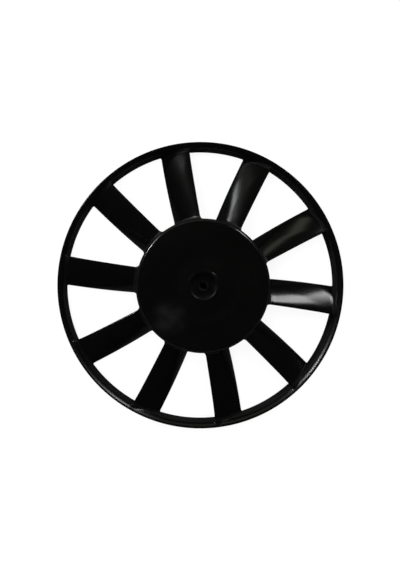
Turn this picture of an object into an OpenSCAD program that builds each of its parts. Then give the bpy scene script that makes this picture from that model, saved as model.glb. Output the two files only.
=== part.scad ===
// Ringed axial fan wheel for an engine radiator, moulded in one piece.
// It lies on the rear rim of its hub cup, with the closed face up, and the shaft's axis is Z.

/* [Ring] */
// Outside diameter over the front lip
ring_d = 280; // [250:1:320]
// Inside diameter of the band that joins the blade tips
band_d = 266; // [240:0.2:308]
// Depth from the lip's front to the band's rear edge
ring_h = 17; // [15:0.5:22]
// Wall of the band
band_wall = 2.3; // [1.8:0.1:3]
// Thickness of the lip
lip_t = 2.4; // [1.8:0.1:3]
// Radius of the bell mouth between the band's inside and the lip
mouth_r = 4; // [2.5:0.1:5]
// Height of the lip's front above the hub's rear rim
ring_z = 19; // [16:0.5:24]

/* [Hub cup] */
// Outside diameter just behind the front corner
hub_d = 127.4; // [110:0.2:140]
// Height of the closed face above the rear rim
hub_h = 40; // [36:0.5:48]
// Gain in the outside diameter from the front corner to the rear rim, for mould draft
hub_flare = 3.6; // [0:0.2:5]
// Wall of the cup's side and face
hub_wall = 2.6; // [2:0.1:3.5]
// Rounding of the front corner
corner_r = 4; // [3:0.5:6]

/* [Hub face] */
// Width of the trough that runs round the collar
trough_w = 21; // [14:0.5:24]
// Depth of the trough below the face
trough_depth = 1.5; // [0.5:0.1:2.5]
// Fall of the face from the trough's outer edge to the front corner
crown = 0.9; // [0:0.1:2]

/* [Nose] */
// Diameter of the clip recess
recess_d = 24; // [20:0.5:28]
// Depth of the recess below the collar
recess_depth = 7; // [5:0.5:9]
// Width of the rounded collar round the recess
collar_w = 3.6; // [3:0.1:4.4]
// Height of the collar above the face
collar_h = 0.6; // [0.2:0.1:1.2]
// Diameter of the sleeve that stands in the recess
sleeve_d = 11.2; // [10:0.2:14]
// Height of the sleeve above the recess floor
sleeve_h = 2.4; // [1:0.2:4]

/* [Shaft seat] */
// Diameter of the shaft bore
bore_d = 6; // [5:0.5:8]
// Width of the two keyways
key_w = 1.8; // [1.4:0.1:2]
// Distance over both keyways, across the bore
key_span = 8.8; // [8.4:0.2:9.6]
// Angle of the keyways from the first blade
key_angle = 104; // [0:1:180]
// Diameter of the rear boss
boss_d = 19; // [16:0.5:24]
// Height of the boss's rear end above the hub's rear rim
boss_z = 16; // [12:0.5:20]

/* [Ribs] */
// Number of ribs inside the cup
rib_count = 10; // [5:1:12]
// Thickness of a rib
rib_t = 1.8; // [1.4:0.1:2.6]
// Height of the ribs below the face's underside
rib_h = 6; // [5.5:0.5:10]
// Reach of the gusset between a rib and the boss
gusset = 7; // [3:0.5:8]

/* [Blades] */
// Number of blades
blade_count = 10; // [7:1:11]
// Chord at the hub
chord_root = 33; // [28:0.1:36]
// Chord at the ring
chord_tip = 30.7; // [26:0.1:33]
// Pitch at the hub, from the plane of rotation
pitch_root = 42; // [36:0.5:48]
// Pitch at the ring
pitch_tip = 22.5; // [18:0.5:26]
// Height of the mid chord at the hub, above the hub's rear rim
root_z = 20; // [18:0.5:22]
// Lean of the tip against the root, along the rotation
sweep = 1.7; // [-6:0.1:6]
// Camber as a share of the chord at the hub
camber_root = 0.055; // [0.02:0.005:0.08]
// Camber as a share of the chord at the ring
camber_tip = 0.05; // [0.02:0.005:0.08]
// Greatest thickness at the hub
blade_t_root = 2.8; // [2:0.1:3.6]
// Greatest thickness at the ring
blade_t_tip = 2.2; // [1.8:0.1:3]
// Fillet between a blade and the hub
root_fillet = 3; // [1:0.5:4]
// Fillet between a blade and the ring
tip_fillet = 2; // [1:0.5:3]

/* [Hidden] */
$fn = 144;
plastic = [0.07, 0.07, 0.075];

ring_r = ring_d / 2;
band_r = band_d / 2;
tip_z = ring_z - ring_h / 2;
hub_r = hub_d / 2;
side_top = hub_h - crown - corner_r;
flare_per_mm = hub_flare / 2 / side_top;
rim_round = 0.5;
recess_floor = hub_h + collar_h - recess_depth;
face_under = hub_h - trough_depth - hub_wall;
well_under = recess_floor - hub_wall;
collar_r = recess_d / 2 + collar_w;
trough_in = collar_r + 1;
trough_out = trough_in + trough_w;
face_edge = hub_r - corner_r;
crown_lean = atan(2 * crown / (face_edge - trough_out));
side_lean = atan(flare_per_mm);

// Points of an arc about a centre, from one angle to another
function arc(centre, r, from, to, steps) =
    [for (i = [0 : steps]) centre + r * [cos(from + (to - from) * i / steps),
                                         sin(from + (to - from) * i / steps)]];

function mix(a, b, share) = a + (b - a) * share;

// Height of the closed face at a radius: trough, then a slight crown out to the corner
function face_z(r) =
    r < trough_out ? hub_h - trough_depth * (1 - cos(360 * (r - trough_in) / trough_w)) / 2
                   : hub_h - crown * pow((r - trough_out) / (face_edge - trough_out), 2);

// Outside radius of the cup's side at a height
function side_r(z) = hub_r + (side_top - min(z, side_top)) * flare_per_mm;

// Inside radius of the ring at a height: band, then bell mouth
function inside_r(z) =
    let (up = min(max(z - (ring_z - mouth_r), 0), mouth_r))
    band_r + mouth_r - sqrt(mouth_r * mouth_r - up * up);

// Section of the ring: band, bell mouth and lip
function ring_section() =
    let (back = ring_z - ring_h, out_r = band_r + band_wall, nose = lip_t / 2, edge = 0.7)
    concat(arc([band_r + edge, back + edge], edge, 180, 270, 4),
           arc([out_r - edge, back + edge], edge, 270, 360, 4),
           arc([out_r + 1, ring_z - lip_t - 1], 1, 180, 90, 4),
           arc([ring_r - nose, ring_z - nose], nose, -90, 90, 12),
           arc([band_r + mouth_r, ring_z - mouth_r], mouth_r, 90, 180, 12));

// Face and side of the cup from the collar out to the rear rim
function cup_outside() =
    let (soft = collar_w / 2)
    concat(arc([recess_d / 2 + soft, hub_h + collar_h - soft], soft, 180, 50, 10),
           [for (i = [0 : 24]) let (r = mix(trough_in, trough_out, i / 24)) [r, face_z(r)]],
           [for (i = [1 : 7]) let (r = mix(trough_out, face_edge, i / 7)) [r, face_z(r)]],
           arc([face_edge, side_top], corner_r, 90 - crown_lean, side_lean, 8),
           arc([side_r(0) - rim_round, rim_round], rim_round, 0, -90, 4));

// Inside of the cup from the rear rim up and in to the recess's wall
function cup_inside() =
    let (in_top = face_under - 3, well_r = recess_d / 2 + hub_wall, soft = 1.2)
    concat(arc([side_r(0) - hub_wall + rim_round, rim_round], rim_round, 270, 180, 4),
           arc([side_r(in_top) - hub_wall - 3, in_top], 3, 0, 90, 6),
           arc([well_r + soft, face_under - soft], soft, 90, 180, 5),
           arc([well_r - soft, well_under + soft], soft, 0, -90, 5));

// Recess and sleeve, from the axis out
function nose_outside() =
    let (r = sleeve_d / 2, top = recess_floor + sleeve_h, wall = recess_d / 2, soft = 1.2)
    concat([[0, top]],
           arc([r - 0.6, top - 0.6], 0.6, 90, 0, 3),
           arc([r + 0.6, recess_floor + 0.6], 0.6, 180, 270, 3),
           arc([wall - soft, recess_floor + soft], soft, 270, 360, 5));

// Rear boss, from the recess's underside back to the axis
function boss_outside() =
    concat(arc([boss_d / 2 + 1.5, well_under - 1.5], 1.5, 90, 180, 5),
           arc([boss_d / 2 - 1, boss_z + 1], 1, 0, -90, 4),
           [[0, boss_z]]);

// One blade section at a share of the span, as points [along the rotation, height]
function blade_section(span, grow, steps) =
    let (chord = mix(chord_root, chord_tip, span) + 2 * grow,
         pitch = mix(pitch_root, pitch_tip, span),
         camber = mix(camber_root, camber_tip, span) * chord,
         half_t = mix(blade_t_root, blade_t_tip, span) / 2 + grow * 0.6,
         along = [cos(pitch), -sin(pitch)],
         up = [sin(pitch), cos(pitch)])
    [for (i = [0 : 2 * steps - 1])
        let (turn = 180 * i / steps,
             u = -cos(turn),
             side = i < steps ? 1 : -1,
             half = half_t * pow(abs(sin(turn)), 0.55) * (1 - 0.3 * u))
        along * chord / 2 * u + up * (camber * (1 - u * u) + side * half)];

// Growth of a blade's section at a distance from the wall that it runs into
function fillet_grow(distance, fillet) =
    let (left = fillet - min(max(distance, 0), fillet))
    fillet - sqrt(fillet * fillet - left * left);

// One blade, lofted from the cup's wall to the ring's wall along the radius
module blade() {
    steps = 9;
    near = [0, 0.12, 0.4, 1];
    length = band_r - hub_r;
    sunk = -min(hub_wall, band_wall) / 2;
    stations = concat([sunk], near * root_fillet,
                      [for (i = [1 : 6]) mix(root_fillet, length - tip_fillet, i / 7)],
                      [for (i = [3 : -1 : 0]) length - near[i] * tip_fillet], [length - sunk]);
    count = len(stations);
    around = 2 * steps;
    points = [for (d = stations)
        let (span = d / length,
             grow = fillet_grow(d, root_fillet) + fillet_grow(length - d, tip_fillet),
             mid_z = mix(root_z, tip_z, span),
             lean = -sweep * span)
        for (p = blade_section(span, grow, steps))
            let (z = mid_z + p.y,
                 r = mix(side_r(z), inside_r(z), span),
                 angle = lean + p.x / r * 180 / PI)
            [r * cos(angle), r * sin(angle), z]];
    sides = [for (j = [0 : count - 2], i = [0 : around - 1])
        let (a = j * around + i, b = j * around + (i + 1) % around)
        each [[a, b, b + around], [a, b + around, a + around]]];
    root_cap = [for (i = [1 : around - 2]) [0, i + 1, i]];
    last = (count - 1) * around;
    tip_cap = [for (i = [1 : around - 2]) [last, last + i, last + i + 1]];
    polyhedron(points, concat(sides, root_cap, tip_cap));
}

module ring() {
    rotate_extrude() polygon(ring_section());
}

module hub() {
    rotate_extrude()
        polygon(concat(nose_outside(), cup_outside(), cup_inside(), boss_outside()));
}

// Ribs under the face, from the boss to the cup's side, each with a gusset at the boss
module ribs() {
    inner = (bore_d + boss_d) / 4;
    outer = side_r(face_under) - hub_wall / 2;
    well_r = (recess_d + hub_wall) / 2;
    top = face_under + hub_wall / 2;
    low = face_under - rib_h;
    for (i = [0 : rib_count - 1])
        rotate(i * 360 / rib_count)
            rotate([90, 0, 0])
                linear_extrude(height = rib_t, center = true)
                    polygon([[inner, well_under + hub_wall / 2], [well_r, well_under + hub_wall / 2],
                             [well_r, top], [outer, top], [outer, low], [well_r + gusset, low],
                             [boss_d / 2, low - gusset], [inner, low - gusset]]);
}

// Shaft bore with its two keyways
module shaft_seat() {
    translate([0, 0, boss_z - 1]) {
        cylinder(d = bore_d, h = hub_h);
        rotate(key_angle) translate([-key_span / 2, -key_w / 2, 0]) cube([key_span, key_w, hub_h]);
    }
}

module fan_wheel() {
    color(plastic)
        difference() {
            union() {
                ring();
                hub();
                ribs();
                for (i = [0 : blade_count - 1]) rotate(i * 360 / blade_count) blade();
            }
            shaft_seat();
        }
}

fan_wheel();
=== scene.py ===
import math

import bmesh
import bpy
from mathutils import Matrix, Vector


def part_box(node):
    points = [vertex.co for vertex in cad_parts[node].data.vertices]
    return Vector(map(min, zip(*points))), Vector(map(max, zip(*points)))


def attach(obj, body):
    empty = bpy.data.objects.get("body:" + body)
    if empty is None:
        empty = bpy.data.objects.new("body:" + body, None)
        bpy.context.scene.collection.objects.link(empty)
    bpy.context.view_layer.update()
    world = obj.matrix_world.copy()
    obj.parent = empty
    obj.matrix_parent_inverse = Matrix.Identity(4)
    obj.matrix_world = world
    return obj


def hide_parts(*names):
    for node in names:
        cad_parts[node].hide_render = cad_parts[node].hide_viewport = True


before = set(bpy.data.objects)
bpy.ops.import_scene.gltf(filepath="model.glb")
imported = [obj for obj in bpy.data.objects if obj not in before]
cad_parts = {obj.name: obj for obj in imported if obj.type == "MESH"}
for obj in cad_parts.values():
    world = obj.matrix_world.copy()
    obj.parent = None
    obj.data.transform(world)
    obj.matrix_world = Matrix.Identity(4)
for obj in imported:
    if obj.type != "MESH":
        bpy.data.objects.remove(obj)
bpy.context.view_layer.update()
wheelLow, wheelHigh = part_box("fan_wheel")
mm = 0.001
print("frame loaded:", sorted(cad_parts))


# Photograph's view, set first so that every stage can be looked at through it
view = {
    "distance": 550,      # mm from the lip's plane
    "lens": 35.62,
    "roll": 31.2,         # degrees from the image's right to the first blade
    "tiltRight": 0.052,   # radians, the wheel's lean in the photograph
    "tiltUp": -0.013,
    "shaftRight": 2.3,    # mm from the image's middle to the shaft
    "shaftUp": -0.66,
    "lipHeight": 19,      # mm above the floor
}


def placeCamera():
    lean = Vector((-view["tiltUp"], view["tiltRight"], 0))
    wheelInView = (
        Matrix.Translation((view["shaftRight"] * mm, view["shaftUp"] * mm, 0))
        @ Matrix.Rotation(lean.length, 4, lean)
        @ Matrix.Rotation(math.radians(view["roll"]), 4, "Z")
        @ Matrix.Translation((0, 0, -view["lipHeight"] * mm))
    )
    eye = bpy.data.cameras.new("photoCamera")
    eye.lens = view["lens"]
    eye.sensor_width = 36
    eye.clip_start, eye.clip_end = 0.01, 50
    camera = bpy.data.objects.new("photoCamera", eye)
    camera.matrix_world = wheelInView.inverted() @ Matrix.Translation((0, 0, view["distance"] * mm))
    bpy.context.scene.collection.objects.link(camera)
    bpy.context.scene.camera = camera


placeCamera()
print("camera placed")


# Shapes are made in millimetres and scaled to metres when they become a mesh
def meshObject(shape, name):
    bmesh.ops.scale(shape, verts=shape.verts, vec=(mm, mm, mm))
    mesh = bpy.data.meshes.new(name)
    shape.to_mesh(mesh)
    shape.free()
    made = bpy.data.objects.new(name, mesh)
    bpy.context.scene.collection.objects.link(made)
    return made


def blend(start, end, share):
    return start + (end - start) * share


# Turns a closed outline of (radius, height) corners all the way round the shaft's axis
def turnOutline(shape, outline, steps):
    corners = [shape.verts.new((radius, 0, height)) for radius, height in outline]
    lines = [shape.edges.new(pair) for pair in zip(corners, corners[1:] + corners[:1])]
    bmesh.ops.spin(shape, geom=corners + lines, cent=(0, 0, 0), axis=(0, 0, 1), angle=2 * math.pi,
                   steps=steps, use_merge=True)


# Rounds the circular edge that the spin left at a corner of the outline
def roundCorner(shape, radius, height, size, segments):
    reach = 0.01

    def onCorner(vert):
        return abs(math.hypot(vert.co.x, vert.co.y) - radius) < reach and abs(vert.co.z - height) < reach

    edges = [edge for edge in shape.edges if all(onCorner(vert) for vert in edge.verts)]
    bmesh.ops.bevel(shape, geom=edges, offset=size, offset_type="OFFSET", segments=segments, profile=0.5,
                    affect="EDGES", material=-1)


# Corners along an arc about a (radius, height) centre, with both its ends
def arc(centre, radius, start, end, pieces):
    turns = [blend(start, end, i / pieces) for i in range(pieces + 1)]
    return [(centre[0] + radius * math.cos(turn), centre[1] + radius * math.sin(turn)) for turn in turns]


# Extra corners along a straight stretch, so that its faces stay small beside the blades
def straight(start, end, pieces):
    return [(blend(start[0], end[0], i / pieces), blend(start[1], end[1], i / pieces)) for i in range(pieces)]


ring = {
    "outside": wheelHigh.x / mm,
    "bandInside": 133,
    "wall": 2.3,
    "lipFront": 19,
    "depth": 17,
    "flare": 12,          # radius of the bell mouth, which runs out to the rounded lip
    "rearEdge": 0.7,
    "steps": 360,         # round the wheel
    "bandPieces": 6,
    "mouthPieces": 16,
    "lipPieces": 10,
    "backPieces": 12,
    "edgePieces": 4,
}
ring["lipRound"] = ring["wall"] / 2
ring["flareMiddle"] = ring["flare"] - ring["lipRound"]
ring["flareRadius"] = ring["bandInside"] + ring["flare"]
ring["lipAngle"] = math.acos((ring["outside"] - ring["lipRound"] - ring["flareRadius"]) / ring["flareMiddle"])
ring["flareHeight"] = ring["lipFront"] - ring["lipRound"] - ring["flareMiddle"] * math.sin(ring["lipAngle"])


def addRing(shape):
    bandOutside = ring["bandInside"] + ring["wall"]
    back = ring["lipFront"] - ring["depth"]
    foot, turn, lipTurn = ring["flareHeight"], math.pi, ring["lipAngle"]
    flare = (ring["flareRadius"], foot)
    lip = arc(flare, ring["flareMiddle"], lipTurn, lipTurn, 1)[0]    # centre of the rounded lip
    outline = (
        straight((bandOutside, foot), (bandOutside, back), ring["bandPieces"])
        + [(bandOutside, back)]
        + straight((ring["bandInside"], back), (ring["bandInside"], foot), ring["bandPieces"])
        + arc(flare, ring["flare"], turn, lipTurn, ring["mouthPieces"])
        + arc(lip, ring["lipRound"], lipTurn, lipTurn - turn, ring["lipPieces"])[1:-1]
        + arc(flare, ring["flare"] - ring["wall"], lipTurn, turn, ring["backPieces"])[:-1]
    )
    turnOutline(shape, outline, ring["steps"])
    for radius in (ring["bandInside"], bandOutside):
        roundCorner(shape, radius, back, ring["rearEdge"], ring["edgePieces"])


hub = {
    "radius": 63.7,       # at the foot of the front corner
    "face": 40,           # height of the closed face
    "flare": 1.8,         # gain in radius down to the rear rim
    "wall": 2.6,
    "corner": 4,
    "faceEnd": 0.6,       # between the face's last point and the corner
    "troughWidth": 21,
    "troughDepth": 1.5,
    "crown": 0.9,
    "recessRadius": 12,
    "recessDepth": 7,
    "collarWidth": 3.6,
    "collarHeight": 0.6,
    "collarSlope": 1,
    "collarFoot": 1,      # from the collar to the trough
    "sleeveRadius": 5.6,
    "sleeveHeight": 2.4,
    "boreRadius": 3,
    "bossRadius": 9.5,
    "bossEnd": 16,
    "bossFine": 12,       # height of the boss that is cut into small faces
    "steps": 180,
    "facePieces": 30,
    "sidePieces": 16,
    "underPieces": 12,
    "bossPieces": 4,
}
# Size and pieces of each rounded corner
rounds = {
    "front": (hub["corner"], 10),
    "rim": (0.5, 4),
    "inside": (3, 6),
    "recessMouth": (1.45, 8),
    "collar": (0.5, 4),
    "recessFloor": (1.2, 5),
    "sleeveTop": (0.6, 4),
    "sleeveFoot": (0.6, 3),
    "bore": (0.35, 3),
    "well": (1.2, 4),
    "bossFoot": (1.5, 4),
    "bossEnd": (1, 4),
}
hub["sideTop"] = hub["face"] - hub["crown"] - hub["corner"]
hub["recessFloor"] = hub["face"] + hub["collarHeight"] - hub["recessDepth"]
hub["faceUnder"] = hub["face"] - hub["troughDepth"] - hub["wall"]
hub["wellUnder"] = hub["recessFloor"] - hub["wall"]
hub["collarRadius"] = hub["recessRadius"] + hub["collarWidth"]


# Outside radius of the cup's side, which flares for the mould's draft
def sideRadius(height):
    return hub["radius"] + (hub["sideTop"] - height) * hub["flare"] / hub["sideTop"]


# Height of the closed face: a soft trough round the collar, then a slight crown
def faceHeight(radius):
    inner = hub["collarRadius"] + hub["collarFoot"]
    outer = inner + hub["troughWidth"]
    if radius < outer:
        turn = 2 * math.pi * (radius - inner) / hub["troughWidth"]
        return hub["face"] - hub["troughDepth"] * (1 - math.cos(turn)) / 2
    return hub["face"] - hub["crown"] * ((radius - outer) / (hub["radius"] - hub["corner"] - outer)) ** 2


def addHub(shape):
    collarTop = hub["face"] + hub["collarHeight"]
    sleeveTop = hub["recessFloor"] + hub["sleeveHeight"]
    wellRadius = hub["recessRadius"] + hub["wall"]
    edgeHeight = hub["face"] - hub["crown"]
    frontCorner = (sideRadius(edgeHeight), edgeHeight)
    rim = (sideRadius(0), 0)
    innerRim = (sideRadius(0) - hub["wall"], 0)
    innerCorner = (sideRadius(hub["faceUnder"]) - hub["wall"], hub["faceUnder"])
    collarEdge = hub["collarRadius"] - hub["collarSlope"]
    faceStart = (hub["collarRadius"] + hub["collarFoot"], hub["face"])
    faceEdge = (hub["radius"] - hub["corner"] - hub["faceEnd"], hub["face"])
    bossTop = (hub["bossRadius"], hub["bossEnd"] + hub["bossFine"])
    bossEnd = (hub["bossRadius"], hub["bossEnd"])
    face = straight(faceStart, faceEdge, hub["facePieces"]) + [faceEdge]
    outline = (
        [(hub["boreRadius"], sleeveTop), (hub["sleeveRadius"], sleeveTop)]
        + [(hub["sleeveRadius"], hub["recessFloor"]), (hub["recessRadius"], hub["recessFloor"])]
        + [(hub["recessRadius"], collarTop), (collarEdge, collarTop), (hub["collarRadius"], hub["face"])]
        + [(radius, faceHeight(radius)) for radius, level in face]
        + straight(frontCorner, rim, hub["sidePieces"]) + [rim]
        + straight(innerRim, innerCorner, hub["sidePieces"])
        + straight(innerCorner, (wellRadius, hub["faceUnder"]), hub["underPieces"])
        + [(wellRadius, hub["faceUnder"]), (wellRadius, hub["wellUnder"])]
        + [(hub["bossRadius"], hub["wellUnder"])]
        + straight(bossTop, bossEnd, hub["bossPieces"])
        + [bossEnd, (hub["boreRadius"], hub["bossEnd"])]
    )
    turnOutline(shape, outline, hub["steps"])
    corners = {
        "front": frontCorner,
        "inside": innerCorner,
        "recessMouth": (hub["recessRadius"], collarTop),
        "collar": (collarEdge, collarTop),
        "recessFloor": (hub["recessRadius"], hub["recessFloor"]),
        "sleeveTop": (hub["sleeveRadius"], sleeveTop),
        "sleeveFoot": (hub["sleeveRadius"], hub["recessFloor"]),
        "bore": (hub["boreRadius"], sleeveTop),
        "bossFoot": (hub["bossRadius"], hub["wellUnder"]),
        "bossEnd": bossEnd,
    }
    for name, corner in corners.items():
        roundCorner(shape, *corner, *rounds[name])
    for corner in (rim, innerRim):
        roundCorner(shape, *corner, *rounds["rim"])
    for height in (hub["faceUnder"], hub["wellUnder"]):
        roundCorner(shape, wellRadius, height, *rounds["well"])


ribs = {
    "count": 10,
    "thickness": 1.8,
    "height": 6,
    "gusset": 7,
}


# One rib under the face, with its gusset up the boss, repeated round the shaft
def addRibs(shape):
    inner = (hub["boreRadius"] + hub["bossRadius"]) / 2
    wellRadius = hub["recessRadius"] + hub["wall"] / 2
    outer = sideRadius(hub["faceUnder"]) - hub["wall"] / 2
    low = hub["faceUnder"] - ribs["height"]
    top = hub["faceUnder"] + hub["wall"] / 2
    wellTop = hub["wellUnder"] + hub["wall"] / 2
    outline = [(inner, wellTop), (wellRadius, wellTop), (wellRadius, top), (outer, top), (outer, low),
               (wellRadius + ribs["gusset"], low), (hub["bossRadius"], low - ribs["gusset"]),
               (inner, low - ribs["gusset"])]
    half = ribs["thickness"] / 2
    for i in range(ribs["count"]):
        corners = [shape.verts.new((radius, -half, height)) for radius, height in outline]
        plate = shape.faces.new(corners)
        grown = bmesh.ops.extrude_face_region(shape, geom=[plate])["geom"]
        far = [item for item in grown if isinstance(item, bmesh.types.BMVert)]
        bmesh.ops.translate(shape, verts=far, vec=(0, ribs["thickness"], 0))
        turn = Matrix.Rotation(2 * math.pi * i / ribs["count"], 3, "Z")
        bmesh.ops.rotate(shape, verts=corners + far, cent=(0, 0, 0), matrix=turn)


blades = {
    "count": 10,
    "chord": (33, 30.7),          # hub, ring
    "pitch": (42, 22.5),          # degrees from the plane of rotation
    "midHeight": (20, 10.5),
    "sweep": 1.7,                 # degrees, tip behind root
    "camber": (0.055, 0.05),      # share of the chord
    "thickness": (2.8, 2.2),
    "fillet": (3, 2),
    "filletRise": 0.6,            # swell in thickness, as a share of the swell in chord
    "edgeFullness": 0.55,         # below 1 rounds a section's edges more fully
    "taper": 0.3,                 # share of thickness lost to the trailing edge
    "around": 40,                 # points round a section
    "alongSpan": 14,              # stations between the fillets
    "filletStations": (0, 0.02, 0.07, 0.15, 0.27, 0.44, 0.68, 1),
}


# Inside radius of the ring at a height, with the bell mouth's curve
def ringRadius(height):
    up = min(max(height - ring["flareHeight"], 0), ring["flareMiddle"])
    return ring["flareRadius"] - math.sqrt(ring["flare"] ** 2 - up ** 2)


# How far a section swells at a distance from the wall that it runs into
def filletSwell(distance, fillet):
    left = fillet - min(max(distance, 0), fillet)
    return fillet - math.sqrt(fillet ** 2 - left ** 2)


# Bends a unit circle into the blade's section at a distance from the hub
def shapeSection(shape, circle, distance, length):
    share = distance / length
    swell = (filletSwell(distance, blades["fillet"][0])
             + filletSwell(length - distance, blades["fillet"][1]))
    chord = blend(*blades["chord"], share) + 2 * swell
    pitch = math.radians(blend(*blades["pitch"], share))
    camber = blend(*blades["camber"], share) * chord
    halfThickness = blend(*blades["thickness"], share) / 2 + swell * blades["filletRise"]
    for vert in circle:
        toTrailing, side = vert.co.x, vert.co.y
        half = halfThickness * abs(side) ** blades["edgeFullness"] * (1 - blades["taper"] * toTrailing)
        rise = camber * (1 - toTrailing ** 2) + math.copysign(half, side)
        across = chord / 2 * toTrailing * math.cos(pitch) + rise * math.sin(pitch)
        height = (blend(*blades["midHeight"], share)
                  - chord / 2 * toTrailing * math.sin(pitch) + rise * math.cos(pitch))
        radius = blend(sideRadius(min(height, hub["sideTop"])), ringRadius(height), share)
        angle = across / radius - math.radians(blades["sweep"]) * share
        vert.co = (radius * math.cos(angle), radius * math.sin(angle), height)


def addBlades(shape):
    length = ring["bandInside"] - hub["radius"]
    sunk = min(hub["wall"], ring["wall"]) / 2
    near = blades["filletStations"]
    rootFillet, tipFillet = blades["fillet"]
    middle = [blend(rootFillet, length - tipFillet, i / blades["alongSpan"])
              for i in range(1, blades["alongSpan"])]
    stations = ([-sunk] + [share * rootFillet for share in near] + middle
                + [length - share * tipFillet for share in reversed(near)] + [length + sunk])
    for i in range(blades["count"]):
        made, loops = [], []
        for distance in stations:
            circle = bmesh.ops.create_circle(shape, segments=blades["around"], radius=1)["verts"]
            loops.append(list(dict.fromkeys(edge for vert in circle for edge in vert.link_edges)))
            shapeSection(shape, circle, distance, length)
            made += circle
        for loop, following in zip(loops, loops[1:]):
            bmesh.ops.bridge_loops(shape, edges=loop + following)
        bmesh.ops.holes_fill(shape, edges=loops[0] + loops[-1], sides=blades["around"])
        turn = Matrix.Rotation(2 * math.pi * i / blades["count"], 3, "Z")
        bmesh.ops.rotate(shape, verts=made, cent=(0, 0, 0), matrix=turn)


keyways = {
    "width": 1.8,
    "span": 8.8,          # over both, across the bore
    "angle": 104,
    "past": 1,            # below the boss, so that the cut runs out of it
}


def addKeyways(shape):
    depth = hub["face"]
    slot = bmesh.ops.create_cube(shape, size=1)["verts"]
    bmesh.ops.scale(shape, verts=slot, vec=(keyways["span"], keyways["width"], depth))
    bmesh.ops.translate(shape, verts=slot, vec=(0, 0, hub["bossEnd"] - keyways["past"] + depth / 2))
    bmesh.ops.rotate(shape, verts=slot, cent=(0, 0, 0),
                     matrix=Matrix.Rotation(math.radians(keyways["angle"]), 3, "Z"))


# A closed mesh object from the functions that add to its shape
def closedPart(name, *adders):
    shape = bmesh.new()
    for add in adders:
        add(shape)
    bmesh.ops.recalc_face_normals(shape, faces=shape.faces)
    return meshObject(shape, name)


def combine(base, other, operation):
    cut = base.modifiers.new(operation, "BOOLEAN")
    cut.object, cut.operation, cut.solver = other, operation, "MANIFOLD"
    bpy.context.view_layer.update()
    merged = bpy.data.meshes.new_from_object(base.evaluated_get(bpy.context.evaluated_depsgraph_get()))
    base.modifiers.clear()
    base.data = merged
    bpy.data.objects.remove(other)


creaseAngle = 38          # degrees
sliver = 0.002            # mm


# Takes out the slivers that joining leaves
def clearSlivers(part):
    shape = bmesh.new()
    shape.from_mesh(part.data)
    bmesh.ops.dissolve_degenerate(shape, dist=sliver * mm, edges=shape.edges)
    shape.to_mesh(part.data)
    shape.free()


def mouldWheel():
    wheel = closedPart("moulded_fan_wheel", addRing, addHub)
    combine(wheel, closedPart("bladesAndRibs", addBlades, addRibs), "UNION")
    combine(wheel, closedPart("keyways", addKeyways), "DIFFERENCE")
    clearSlivers(wheel)
    wheel.data.shade_smooth()
    wheel.data.set_sharp_from_angle(angle=math.radians(creaseAngle))
    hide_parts("fan_wheel")
    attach(wheel, "root")
    return wheel


wheel = mouldWheel()
print("wheel moulded:", len(wheel.data.polygons), "faces")


# A socket that takes part in sums, each of which adds its Math node
class Wire:
    def __init__(self, finish, socket):
        self.finish, self.socket = finish, socket

    def sum(self, operation, first, second):
        return self.finish.node("ShaderNodeMath", {"operation": operation}, {0: first, 1: second})

    def __add__(self, other):
        return self.sum("ADD", self, other)

    def __radd__(self, other):
        return self.sum("ADD", other, self)

    def __sub__(self, other):
        return self.sum("SUBTRACT", self, other)

    def __rsub__(self, other):
        return self.sum("SUBTRACT", other, self)

    def __mul__(self, other):
        return self.sum("MULTIPLY", self, other)

    def __rmul__(self, other):
        return self.sum("MULTIPLY", other, self)


# Builds the nodes of a material or of the world
class Finish:
    def __init__(self, owner):
        owner.use_nodes = True
        self.owner, self.tree = owner, owner.node_tree
        self.tree.nodes.clear()

    # Any node: its settings go first, then the values or links of its sockets
    def node(self, kind, settings=None, sockets=None, output=0):
        made = self.tree.nodes.new(kind)
        for name, value in (settings or {}).items():
            setattr(made, name, value)
        for name, value in (sockets or {}).items():
            if isinstance(value, Wire):
                self.tree.links.new(value.socket, made.inputs[name])
            else:
                made.inputs[name].default_value = value
        return Wire(self, made.outputs[output]) if made.outputs else None

    # Which rays look: the camera's own, then those mirrored or let through
    def lookers(self):
        seen = self.node("ShaderNodeLightPath", output="Is Camera Ray")
        outputs = seen.socket.node.outputs
        return seen, Wire(self, outputs["Is Glossy Ray"]) + Wire(self, outputs["Is Transmission Ray"])


plastic = {
    "colour": (0.0007, 0.0007, 0.0007, 1),
    "paler": (0.0016, 0.0016, 0.0015, 1),
    "refraction": 1.46,
    "roughness": 0.165,
    "clouds": 0.05,             # roughness gained where the mould was duller
    "cloudSize": 22.0,          # per metre, as the other sizes of patterns
    "grain": 0.02,
    "grainSize": 1400.0,
    "grainDepth": 0.0002,       # metres
}
# Roughness gained on the ring's inner wall and bell mouth, the cup's side and the recess,
# each from the radius or height in mm where it starts to where it is full
dullParts = {
    "ringWall": {"gain": 0.75, "radius": [(131, 132.5), (134.8, 133.6)]},
    "mouth": {"gain": 0.07, "radius": [(133.4, 134.6)]},
    "cupSide": {"gain": 0.375, "radius": [(66.5, 65.8)], "height": [(37, 34)]},
    "recess": {"gain": 0.1875, "radius": [(13.6, 12.4)]},
}
# Painted highlight: a lighter patch on the hub's face that stands in for a soft sheen of light
paintedSheen = {
    "around": 191.8,            # degrees
    "reach": 44,                # mm from the shaft
    "size": (21, 1),
    "front": (37, 38),          # height that keeps it off the back of the face
    "colour": (0.007, 0.007, 0.007, 1),
    "patchSize": 80.0,
    "patches": (0.2, 0.8),
}


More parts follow.
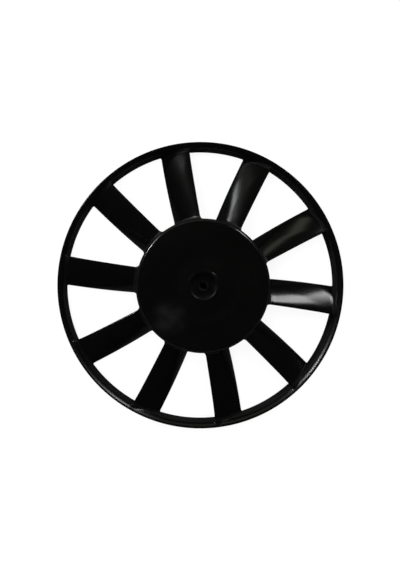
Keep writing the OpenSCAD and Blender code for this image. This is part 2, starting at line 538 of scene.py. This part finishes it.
def blackPlastic():
    finish = Finish(bpy.data.materials.new("blackPlastic"))
    place = finish.node("ShaderNodeTexCoord", output="Object")
    flat = finish.node("ShaderNodeVectorMath", {"operation": "MULTIPLY"}, {0: place, 1: (1, 1, 0)})
    radius = finish.node("ShaderNodeVectorMath", {"operation": "LENGTH"}, {0: flat}, output="Value")
    height = finish.node("ShaderNodeSeparateXYZ", {}, {"Vector": place}, output="Z")

    # A pattern of patches, many to the metre
    def noise(size, detail):
        return finish.node("ShaderNodeTexNoise", {}, {"Vector": place, "Scale": size, "Detail": detail})

    # None at the start to full at the end, with soft ends
    def fade(value, start, end, unit=mm):
        return finish.node("ShaderNodeMapRange", {"interpolation_type": "SMOOTHSTEP"},
                           {"Value": value, "From Min": start * unit, "From Max": end * unit})

    def mixColours(share, first, second):
        return finish.node("ShaderNodeMix", {"data_type": "RGBA"}, {0: share, 6: first, 7: second}, output=2)

    clouds = noise(plastic["cloudSize"], 4.0)
    roughness = clouds * plastic["clouds"] + plastic["roughness"]
    for part in dullParts.values():
        gain = part["gain"]
        for limits in part["radius"]:
            gain = fade(radius, *limits) * gain
        for limits in part.get("height", []):
            gain = fade(height, *limits) * gain
        roughness = roughness + gain

    # Painted highlight: the lighter colour mixed in here is a painted sheen on the hub's face
    turn = math.radians(paintedSheen["around"])
    middle = (paintedSheen["reach"] * mm * math.cos(turn), paintedSheen["reach"] * mm * math.sin(turn), hub["face"] * mm)
    near = finish.node("ShaderNodeVectorMath", {"operation": "DISTANCE"}, {0: place, 1: middle},
                       output="Value")
    paintedSheenMask = (fade(near, *paintedSheen["size"]) * fade(height, *paintedSheen["front"])
               * fade(noise(paintedSheen["patchSize"], 3.0), *paintedSheen["patches"], unit=1))
    colour = mixColours(clouds, plastic["colour"], plastic["paler"])
    colour = mixColours(paintedSheenMask, colour, paintedSheen["colour"])
    grain = noise(plastic["grainSize"], 2.0)
    bump = finish.node("ShaderNodeBump", {}, {"Height": grain, "Strength": plastic["grain"],
                                              "Distance": plastic["grainDepth"]})
    surface = finish.node("ShaderNodeBsdfPrincipled", {}, {"Base Color": colour, "Roughness": roughness,
                                                           "IOR": plastic["refraction"], "Normal": bump})
    finish.node("ShaderNodeOutputMaterial", {}, {"Surface": surface})
    return finish.owner


wheel.data.materials.clear()
wheel.data.materials.append(blackPlastic())
print("plastic mixed")


floor = {
    "size": 12,           # metres
    "colour": (0.9, 0.9, 0.9, 1),
    "glow": 0.9,          # share of plain white that the camera and reflections see
    "cupShade": (30, 62),       # mm from the shaft over which the glow sets in, so that the bore stays dark
    # Painted shade: over this reach reflections see a dark floor colour, fading out, that stands in for the
    # wheel's shade
    "paintedWheelShade": (138, 2500),  # the same for reflections, which see the wheel's own shade inside it
    "paintedShadeColour": (0.09, 0.09, 0.09, 1),
}


def whiteFloor():
    finish = Finish(bpy.data.materials.new("whiteFloor"))
    paper = finish.node("ShaderNodeBsdfDiffuse", {}, {"Color": floor["colour"]})
    white = finish.node("ShaderNodeEmission", {}, {"Color": (1, 1, 1, 1), "Strength": 1.0})
    seen, mirrored = finish.lookers()
    place = finish.node("ShaderNodeTexCoord", output="Object")
    reach = finish.node("ShaderNodeVectorMath", {"operation": "LENGTH"}, {0: place}, output="Value")

    def beyond(circle):
        inner, outer = floor[circle]
        return finish.node("ShaderNodeMapRange", {},
                           {"Value": reach, "From Min": inner * mm, "From Max": outer * mm})

    share = (seen * beyond("cupShade") + mirrored * beyond("paintedWheelShade")) * floor["glow"]
    both = finish.node("ShaderNodeMixShader", {}, {0: share, 1: paper, 2: white})
    # Painted shade: a dark floor colour that reflections see near the wheel instead of the lit paper
    paintedShade = finish.node("ShaderNodeBsdfDiffuse", {}, {"Color": floor["paintedShadeColour"]})
    inPaintedShade = mirrored * (1 - beyond("paintedWheelShade"))
    shaded = finish.node("ShaderNodeMixShader", {}, {0: inPaintedShade, 1: both, 2: paintedShade})
    finish.node("ShaderNodeOutputMaterial", {}, {"Surface": shaded})
    return finish.owner


def layFloor():
    shape = bmesh.new()
    bmesh.ops.create_grid(shape, x_segments=1, y_segments=1, size=floor["size"] / 2 / mm)
    sheet = meshObject(shape, "floor")
    sheet.data.materials.append(whiteFloor())


layFloor()
print("floor laid")


# Soft boxes: direction in degrees round the shaft and above the floor, the rest in metres and watts.
# The fill lamps light the colours and stay out of the gloss, which shows the window, the door and a wall.
fill = {"above": 60, "away": 1.3, "size": (0.7, 0.7), "power": 11, "gloss": False}
lights = {
    "fillOne": {"around": 200, **fill},
    "fillTwo": {"around": 20, **fill},
    "fillThree": {"around": 110, **fill},
    "window": {"around": 18.6, "above": 26, "away": 3, "size": (0.32, 1.1), "turn": 27, "power": 17},
    "doorLow": {"around": 103, "above": 5.5, "away": 3, "size": (0.4, 0.5), "power": 5, "tint": (0.95, 1, 1)},
    "doorHigh": {"around": 111.5, "above": 22, "away": 3, "size": (0.35, 0.25), "power": 25},
    "wall": {"around": 67.3, "above": 19.3, "away": 3, "size": (2.5, 0.51), "power": 3.5,
             "tint": (0.96, 1, 0.8)},
}
room = {
    "background": 0.9,    # share of plain white that the camera sees behind the floor
    "mirrored": 0.004,    # the same for reflections, where the room round the part is dark
    "strength": 0.004,    # what it gives to everything else
}


def hangLight(name, light):
    lamp = bpy.data.lights.new(name, "AREA")
    lamp.shape = "RECTANGLE"
    lamp.size, lamp.size_y = light["size"]
    lamp.energy = light["power"]
    lamp.color = light.get("tint", (1, 1, 1))
    around, above = math.radians(light["around"]), math.radians(light["above"])
    level = math.cos(above)
    outward = Vector((math.cos(around) * level, math.sin(around) * level, math.sin(above)))
    hung = bpy.data.objects.new(name, lamp)
    hung.location = outward * light["away"]
    hung.rotation_euler = (outward.to_track_quat("Z", "Y").to_matrix()
                           @ Matrix.Rotation(math.radians(light.get("turn", 0)), 3, "Z")).to_euler()
    hung.visible_camera = False
    hung.visible_glossy = light.get("gloss", True)
    bpy.context.scene.collection.objects.link(hung)


def lightRoom():
    for name, light in lights.items():
        hangLight(name, light)
    finish = Finish(bpy.data.worlds.new("room"))
    seen, mirrored = finish.lookers()
    strength = seen * room["background"] + mirrored * room["mirrored"] + room["strength"]
    walls = finish.node("ShaderNodeBackground", {}, {"Color": (1, 1, 1, 1), "Strength": strength})
    finish.node("ShaderNodeOutputWorld", {}, {"Surface": walls})
    bpy.context.scene.world = finish.owner
    bpy.context.scene.view_settings.view_transform = "Standard"


lightRoom()
print("lights hung")
